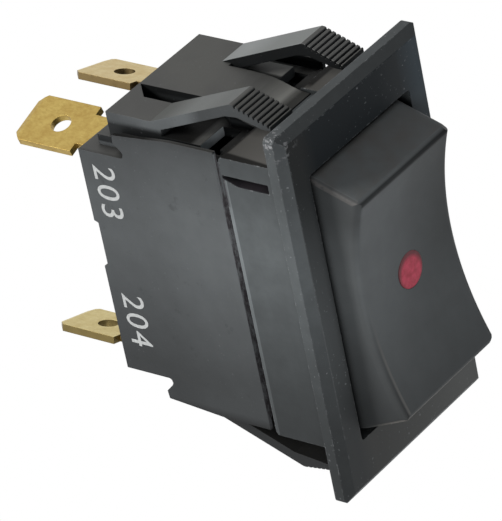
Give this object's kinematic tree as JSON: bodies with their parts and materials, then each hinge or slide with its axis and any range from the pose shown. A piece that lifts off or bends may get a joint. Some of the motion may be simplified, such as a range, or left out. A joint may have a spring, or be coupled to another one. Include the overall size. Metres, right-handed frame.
{
  "type": "panel rocker switch",
  "caption": "Snap-in panel rocker switch: dished black rocker with a small round red indicator lens in a rectangular bezel, sprung latches above and below, and quick-connect tabs behind.",
  "frame": {"origin": "middle of the bezel's back face, where it meets the front of the panel", "axes": "+Y from the rocker to the terminals, square to the panel; +Z along the rocker towards the end with two tabs; +X across the switch"},
  "size_m": [0.025, 0.0462, 0.0446],
  "materials": {
    "moulded_black": "fine matt moulding",
    "housing_black": "fine matt moulding",
    "rocker_black": "finely textured moulding",
    "lens_red": "translucent",
    "nylon_white": "natural",
    "spring_steel": "drawn wire",
    "copper_alloy": "rolled strip",
    "silver": "coined",
    "steel": "drawn",
    "brass": "rolled strip",
    "brass_plated": "rolled strip, thinly plated",
    "led_red": "translucent",
    "resistor_tan": "lacquered",
    "tinned_wire": "tinned",
    "phenolic": "pressed sheet"
  },
  "bodies": {
    "housing": {"bezel_frame": "moulded_black", "base_housing": "housing_black", "fixed_contact": "silver", "hinge_pin": "steel", "fulcrum_bracket": "copper_alloy", "bracket_rivet": "brass", "terminal_common": "brass_plated", "terminal_upper": "brass_plated", "terminal_lower": "brass", "indicator_led": "led_red", "lamp_holder": "nylon_white", "lamp_resistor": "resistor_tan", "lamp_wire_supply": "tinned_wire", "lamp_wire_load": "tinned_wire", "lamp_wire_return": "tinned_wire", "barrier_plate": "phenolic"},
    "rocker": {"rocker_button": "rocker_black", "indicator_lens": "lens_red", "plunger_spring": "spring_steel"},
    "plunger": {"plunger": "nylon_white"},
    "see_saw": {"contact_rocker": "copper_alloy", "moving_contact": "silver"}
  },
  "joints": [
    {"name": "rocker_pivot", "type": "hinge", "parent": "housing", "child": "rocker", "pos_m": [0, 0.004, 0], "axis": [-1, 0, 0], "range_deg": [-9, 5]},
    {"name": "see_saw_pivot", "type": "hinge", "parent": "housing", "child": "see_saw", "pos_m": [-0.00456, 0.0176, 0], "axis": [-1, 0, 0], "range_deg": [-4.18, 7.53]},
    {"name": "plunger_slide", "type": "slide", "parent": "rocker", "child": "plunger", "axis": [0, -0.9994, 0.0349], "range_m": [0, 0.0012], "stiffness_N_per_m": 900, "deforming": ["plunger_spring"]}
  ],
  "couplings": [
    {"joint": "see_saw_pivot", "follows": "rocker_pivot", "ratio": -0.8357}
  ]
}
